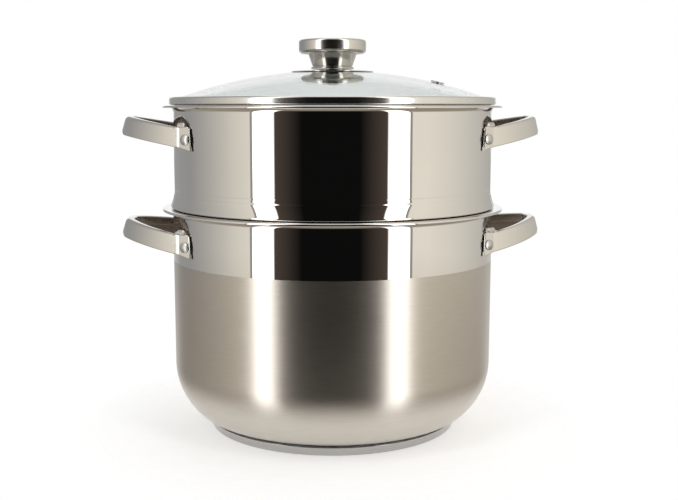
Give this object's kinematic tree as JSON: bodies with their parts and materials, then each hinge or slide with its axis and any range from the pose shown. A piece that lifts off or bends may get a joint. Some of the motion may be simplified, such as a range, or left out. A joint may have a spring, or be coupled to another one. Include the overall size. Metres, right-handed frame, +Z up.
{
  "type": "couscous pot",
  "caption": "Steel couscous pot: deep pot with layered base, steamer with perforated floor standing in its mouth, domed glass lid with knob, riveted loop handles.",
  "frame": {"origin": "on the table, under the middle of the pot's flat base", "axes": "+Z up along the pot's axis, X through the left and right handles, -Y towards the front"},
  "size_m": [0.3196, 0.2562, 0.2918],
  "materials": {
    "brushed_steel": "satin-brushed stainless steel, polished above a ring on the pot's wall",
    "polished_steel": "mirror-polished stainless steel",
    "fastener_steel": "bright stainless steel",
    "aluminium": "plain disc inside the layered base",
    "glass": "clear tempered glass",
    "silicone": "translucent white silicone"
  },
  "bodies": {
    "pot": {"pot_shell": "brushed_steel", "base_core": "aluminium", "base_cap": "brushed_steel", "pot_handle_left": "polished_steel", "pot_handle_right": "polished_steel", "pot_lug_left_front": "fastener_steel", "pot_lug_left_rear": "fastener_steel", "pot_lug_right_front": "fastener_steel", "pot_lug_right_rear": "fastener_steel", "pot_rivet_left_front": "fastener_steel", "pot_rivet_left_rear": "fastener_steel", "pot_rivet_right_front": "fastener_steel", "pot_rivet_right_rear": "fastener_steel"},
    "steamer": {"steamer_shell": "polished_steel", "steamer_handle_left": "polished_steel", "steamer_handle_right": "polished_steel", "steamer_lug_left_front": "fastener_steel", "steamer_lug_left_rear": "fastener_steel", "steamer_lug_right_front": "fastener_steel", "steamer_lug_right_rear": "fastener_steel", "steamer_rivet_left_front": "fastener_steel", "steamer_rivet_left_rear": "fastener_steel", "steamer_rivet_right_front": "fastener_steel", "steamer_rivet_right_rear": "fastener_steel"},
    "lid": {"lid_rim": "polished_steel", "lid_glass": "glass", "vent_eyelet": "fastener_steel", "knob_rosette": "polished_steel", "knob_foot_ring": "polished_steel", "knob_stem": "polished_steel", "knob_cap": "polished_steel", "knob_gasket": "silicone", "knob_washer": "polished_steel", "knob_screw": "fastener_steel"}
  },
  "joints": [
    {"name": "steamer_lift", "type": "slide", "parent": "pot", "child": "steamer", "axis": [0, 0, 1], "range_m": [0, 0.15]},
    {"name": "lid_lift", "type": "slide", "parent": "steamer", "child": "lid", "axis": [0, 0, 1], "range_m": [0, 0.12]}
  ]
}
